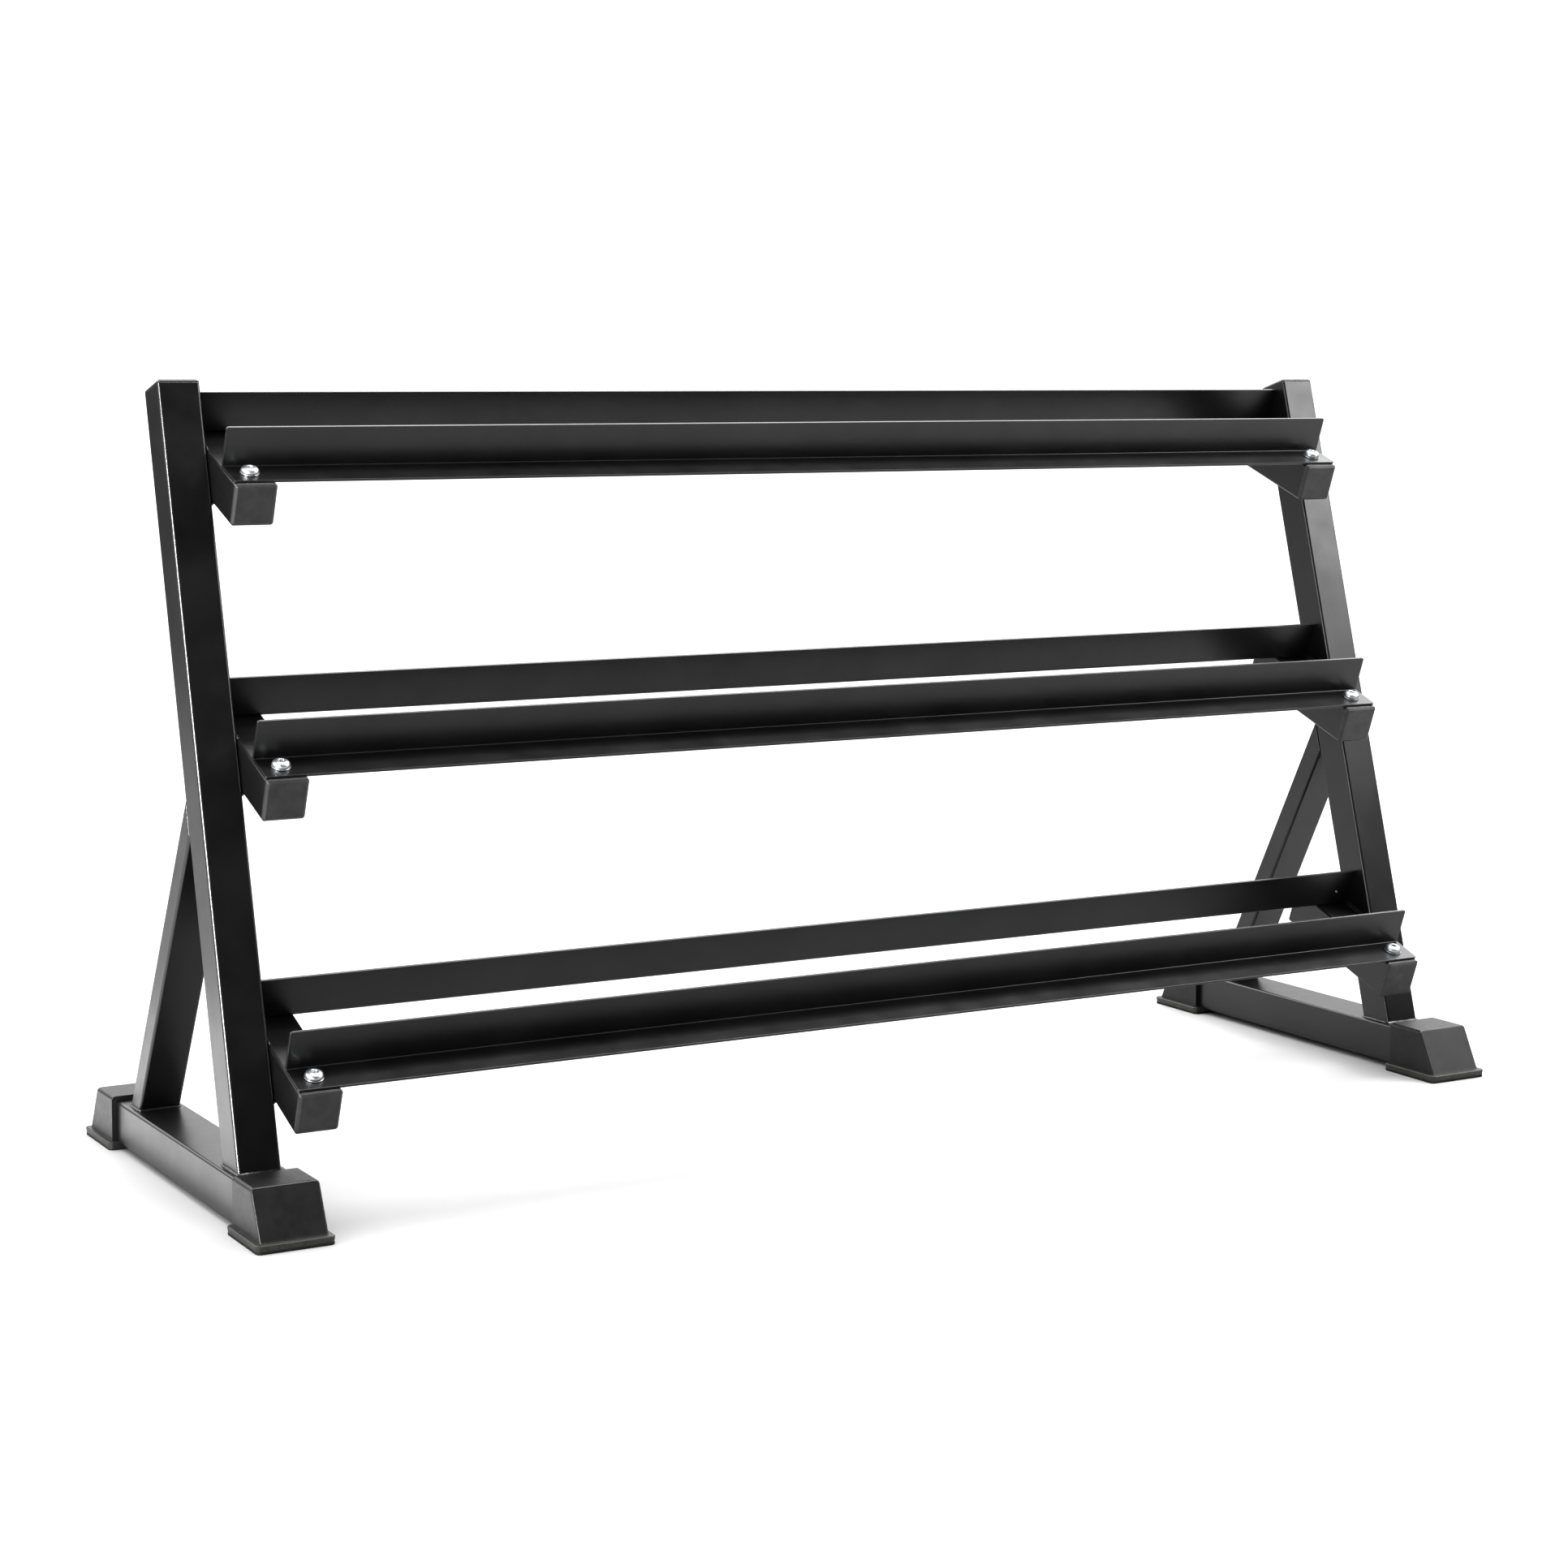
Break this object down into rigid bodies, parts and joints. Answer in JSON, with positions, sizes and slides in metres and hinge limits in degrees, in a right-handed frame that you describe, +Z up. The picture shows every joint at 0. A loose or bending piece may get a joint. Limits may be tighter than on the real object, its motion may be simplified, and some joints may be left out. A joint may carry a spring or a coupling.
{
  "type": "dumbbell rack",
  "caption": "Free-standing tiered rack: two leaning welded side frames joined by pairs of angle rails that cradle dumbbells, on moulded floor boots.",
  "frame": {"origin": "on the floor under the centre of the footprint", "axes": "+X along the rails to the right seen from the front, +Y from the front to the rear, +Z up"},
  "size_m": [1.7058, 0.6098, 0.9222],
  "materials": {
    "powder_coat": "satin black powder coat with a fine orange-peel texture",
    "cap_plastic": "moulded black polyethylene, fine matt grain",
    "boot_plastic": "moulded black plastic, satin, slightly scuffed",
    "zinc": "bright zinc plate",
    "plain_steel": "plain steel, unpolished"
  },
  "bodies": {
    "root": {"left_foot_tube": "powder_coat", "left_upright": "powder_coat", "left_rear_brace": "powder_coat", "left_upright_cap": "cap_plastic", "left_front_boot": "boot_plastic", "left_rear_boot": "boot_plastic", "left_lower_arm": "powder_coat", "left_lower_arm_front_cap": "cap_plastic", "left_lower_arm_rear_cap": "cap_plastic", "left_middle_arm": "powder_coat", "left_middle_arm_front_cap": "cap_plastic", "left_middle_arm_rear_cap": "cap_plastic", "left_upper_arm": "powder_coat", "left_upper_arm_front_cap": "cap_plastic", "left_upper_arm_rear_cap": "cap_plastic", "right_foot_tube": "powder_coat", "right_upright": "powder_coat", "right_rear_brace": "powder_coat", "right_upright_cap": "cap_plastic", "right_front_boot": "boot_plastic", "right_rear_boot": "boot_plastic", "right_lower_arm": "powder_coat", "right_lower_arm_front_cap": "cap_plastic", "right_lower_arm_rear_cap": "cap_plastic", "right_middle_arm": "powder_coat", "right_middle_arm_front_cap": "cap_plastic", "right_middle_arm_rear_cap": "cap_plastic", "right_upper_arm": "powder_coat", "right_upper_arm_front_cap": "cap_plastic", "right_upper_arm_rear_cap": "cap_plastic", "lower_front_rail": "powder_coat", "lower_rear_rail": "powder_coat", "lower_tier_screws": "zinc", "lower_tier_washers": "zinc", "lower_tier_weld_nuts": "plain_steel", "middle_front_rail": "powder_coat", "middle_rear_rail": "powder_coat", "middle_tier_screws": "zinc", "middle_tier_washers": "zinc", "middle_tier_weld_nuts": "plain_steel", "upper_front_rail": "powder_coat", "upper_rear_rail": "powder_coat", "upper_tier_screws": "zinc", "upper_tier_washers": "zinc", "upper_tier_weld_nuts": "plain_steel"}
  },
  "joints": []
}
